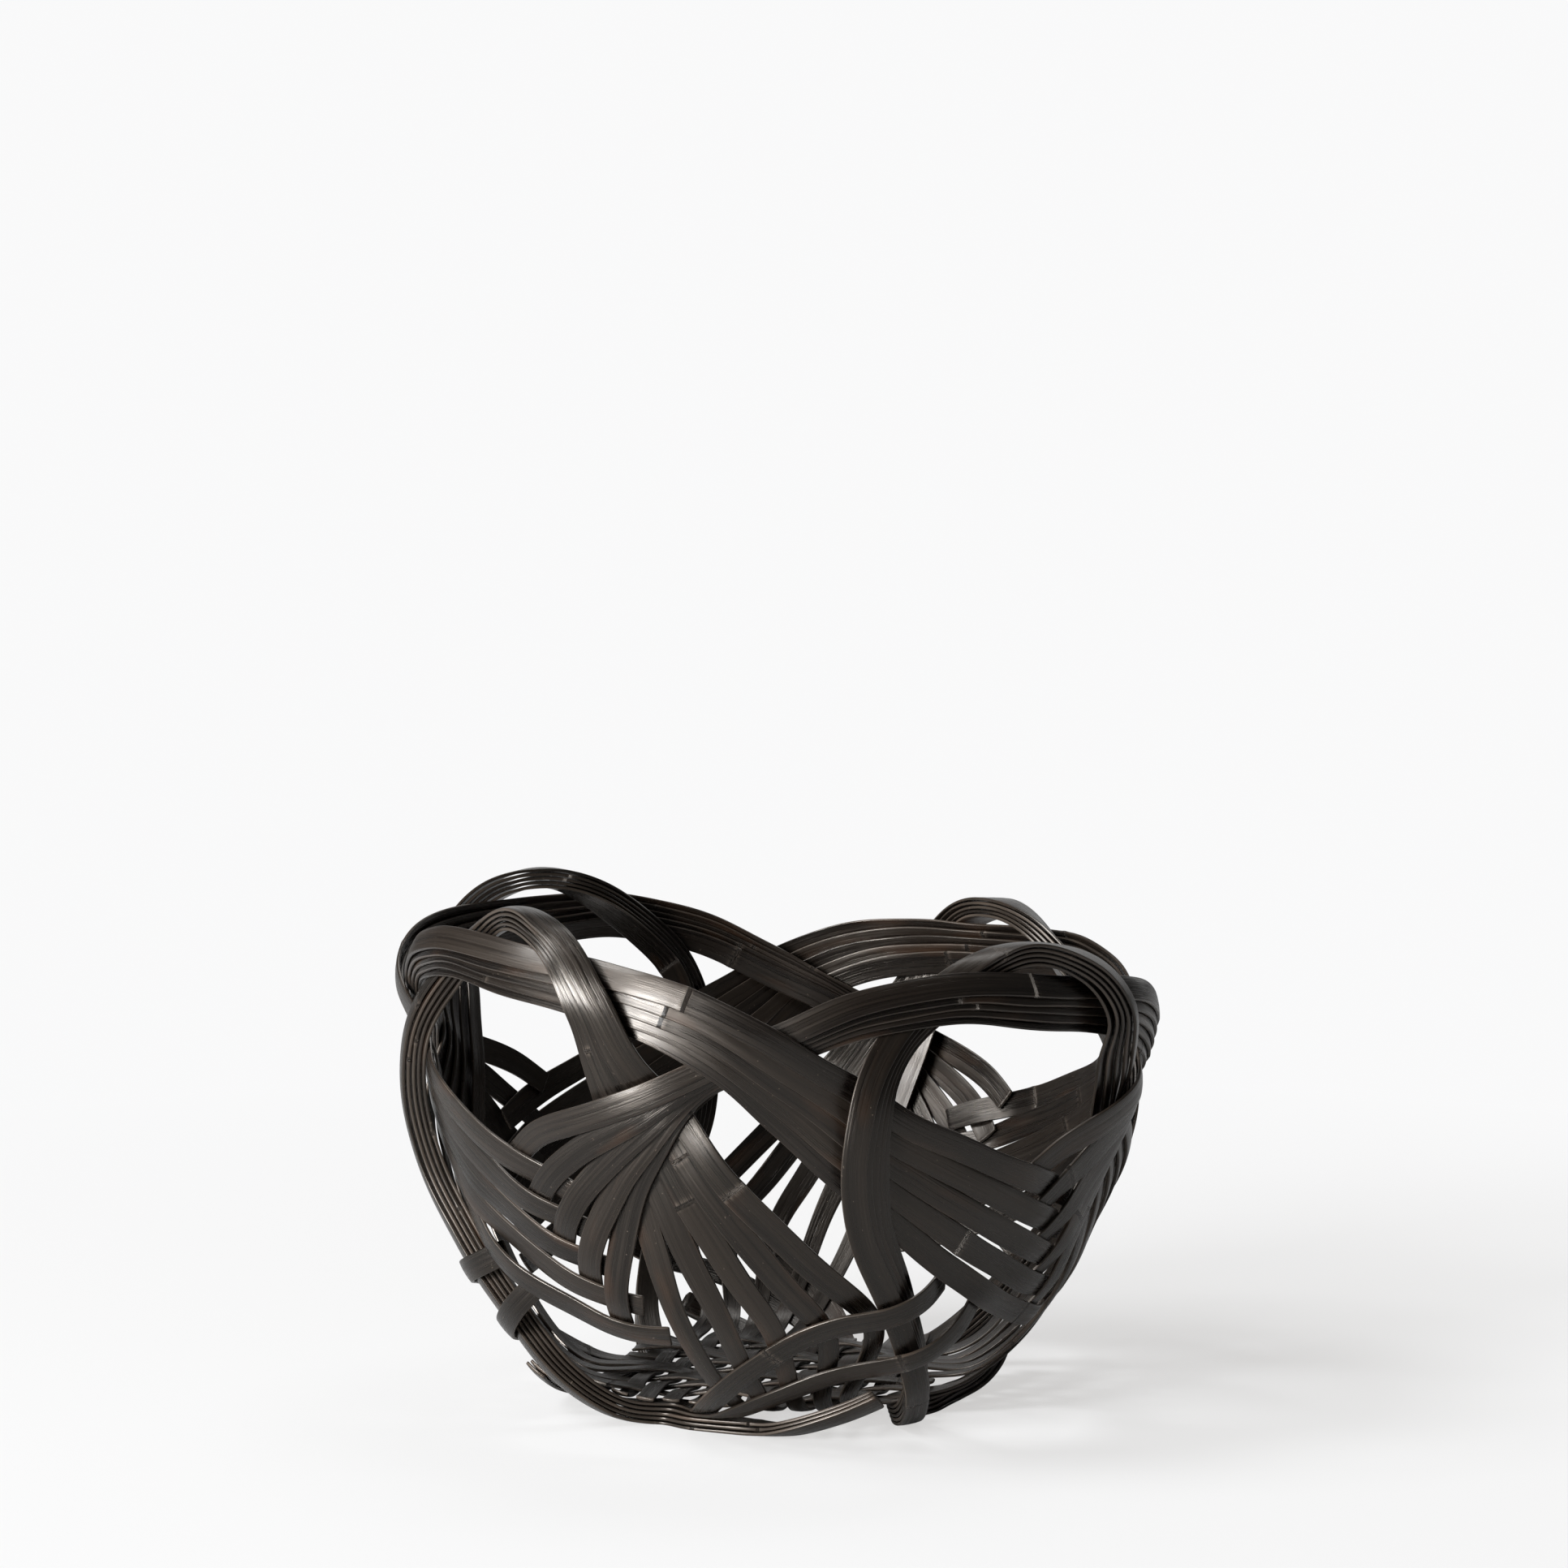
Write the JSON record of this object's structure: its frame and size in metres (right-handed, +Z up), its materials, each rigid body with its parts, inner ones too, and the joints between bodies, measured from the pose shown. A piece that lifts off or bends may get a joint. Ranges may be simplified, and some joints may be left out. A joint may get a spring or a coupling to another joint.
{
  "type": "bamboo basket",
  "caption": "Open bowl-shaped basket of flat dark bamboo strips, plaited from bundled arches and small rim loops that fan out into a woven wall, floor and foot ring.",
  "frame": {"origin": "on the surface it stands on, under the middle of the floor", "axes": "+Z up, through the middle of the mouth; the picture is taken from -Y; the rim leans down slightly towards +X and +Y"},
  "size_m": [0.3056, 0.3055, 0.2086],
  "materials": {
    "arch_strips": "split bamboo, stained near black, thin satin lacquer",
    "loop_strips": "split bamboo, stained near black, thin satin lacquer"
  },
  "bodies": {
    "root": {"arch_1_strip_1": "arch_strips", "arch_1_strip_2": "arch_strips", "arch_1_strip_3": "arch_strips", "arch_1_strip_4": "arch_strips", "arch_1_strip_5": "arch_strips", "loop_1_strip_1": "loop_strips", "loop_1_strip_2": "loop_strips", "loop_1_strip_3": "loop_strips", "loop_1_strip_4": "loop_strips", "loop_1_strip_5": "loop_strips", "arch_2_strip_1": "arch_strips", "arch_2_strip_2": "arch_strips", "arch_2_strip_3": "arch_strips", "arch_2_strip_4": "arch_strips", "arch_2_strip_5": "arch_strips", "loop_2_strip_1": "loop_strips", "loop_2_strip_2": "loop_strips", "loop_2_strip_3": "loop_strips", "loop_2_strip_4": "loop_strips", "loop_2_strip_5": "loop_strips", "arch_3_strip_1": "arch_strips", "arch_3_strip_2": "arch_strips", "arch_3_strip_3": "arch_strips", "arch_3_strip_4": "arch_strips", "arch_3_strip_5": "arch_strips", "loop_3_strip_1": "loop_strips", "loop_3_strip_2": "loop_strips", "loop_3_strip_3": "loop_strips", "loop_3_strip_4": "loop_strips", "loop_3_strip_5": "loop_strips", "arch_4_strip_1": "arch_strips", "arch_4_strip_2": "arch_strips", "arch_4_strip_3": "arch_strips", "arch_4_strip_4": "arch_strips", "arch_4_strip_5": "arch_strips", "loop_4_strip_1": "loop_strips", "loop_4_strip_2": "loop_strips", "loop_4_strip_3": "loop_strips", "loop_4_strip_4": "loop_strips", "loop_4_strip_5": "loop_strips"}
  },
  "joints": []
}
